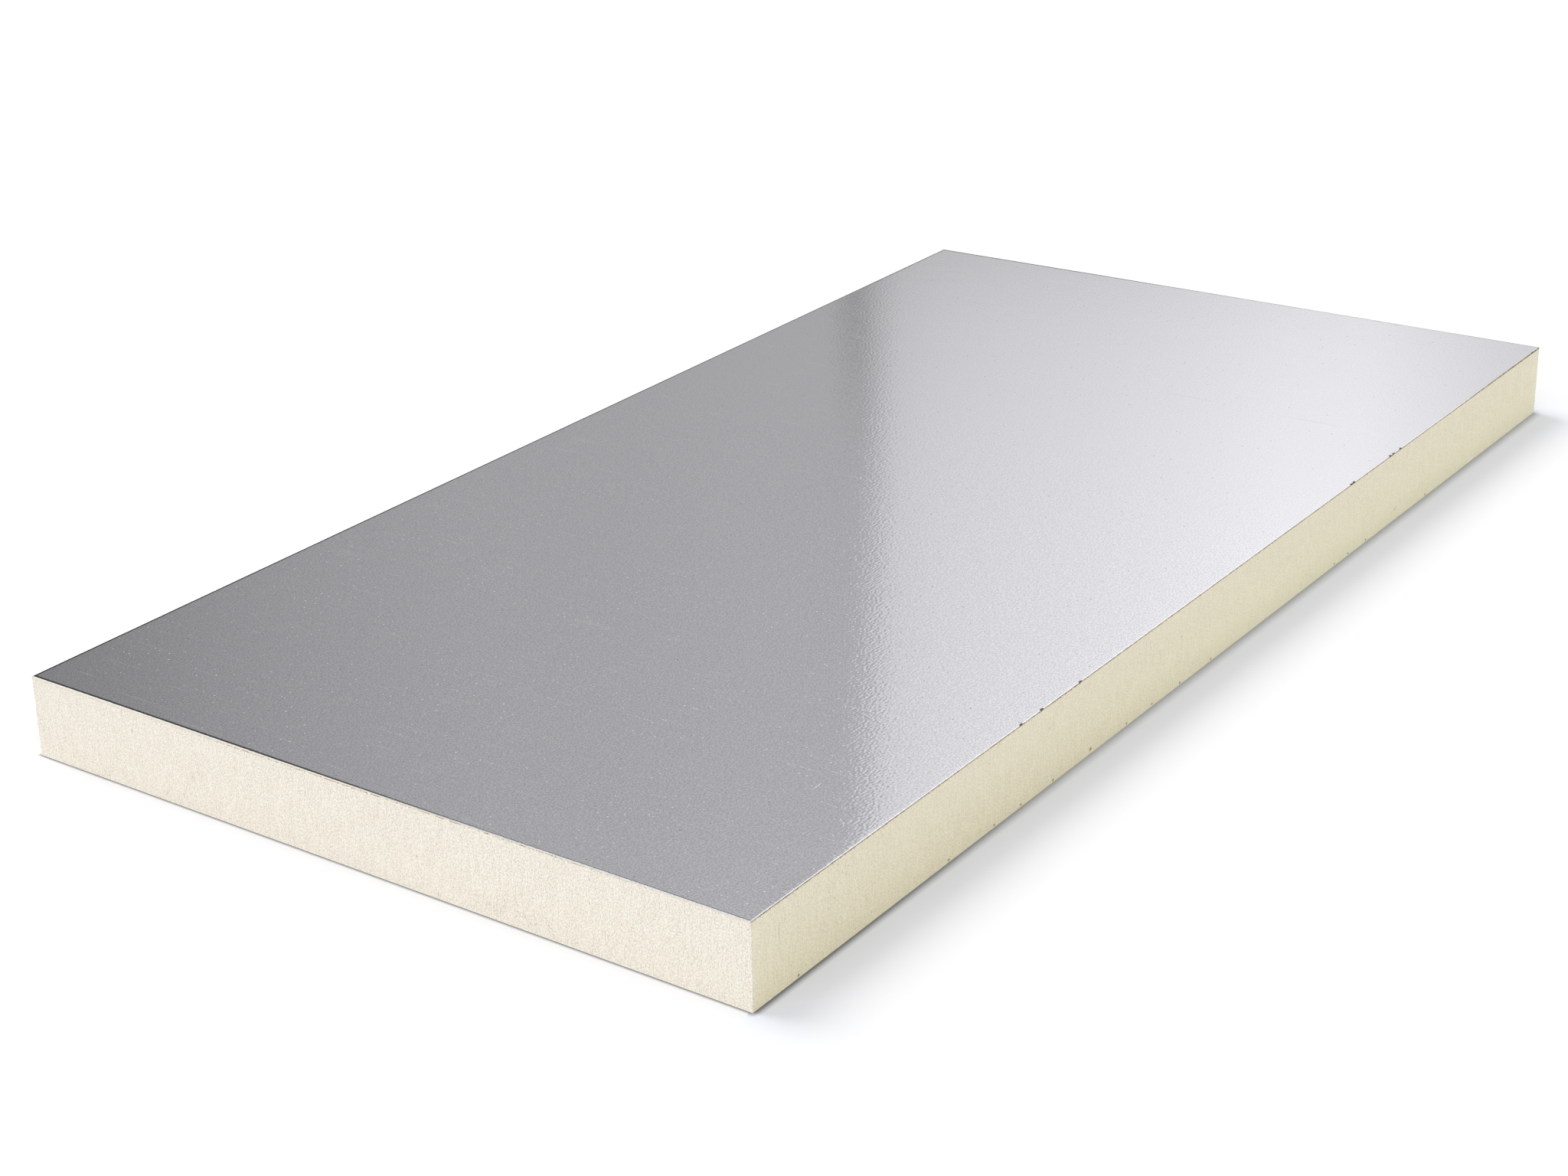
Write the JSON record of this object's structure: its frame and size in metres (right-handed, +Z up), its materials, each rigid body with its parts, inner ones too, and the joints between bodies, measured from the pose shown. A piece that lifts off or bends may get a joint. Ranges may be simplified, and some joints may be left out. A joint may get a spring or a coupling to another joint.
{
  "type": "polyiso insulation board",
  "caption": "Flat rectangular board of rigid foam insulation, faced with foil on both broad sides; the upper foil rolls down over the square sawn edges.",
  "frame": {"origin": "centre of the underside", "axes": "+X along the length, +Y across the width, +Z up through the thickness"},
  "size_m": [1.2, 0.6, 0.06],
  "materials": {
    "foam": "sawn, dry and matt",
    "foil": "satin foil with a faint ripple"
  },
  "bodies": {
    "root": {"foam_core": "foam", "top_facer": "foil", "bottom_facer": "foil"}
  },
  "joints": []
}
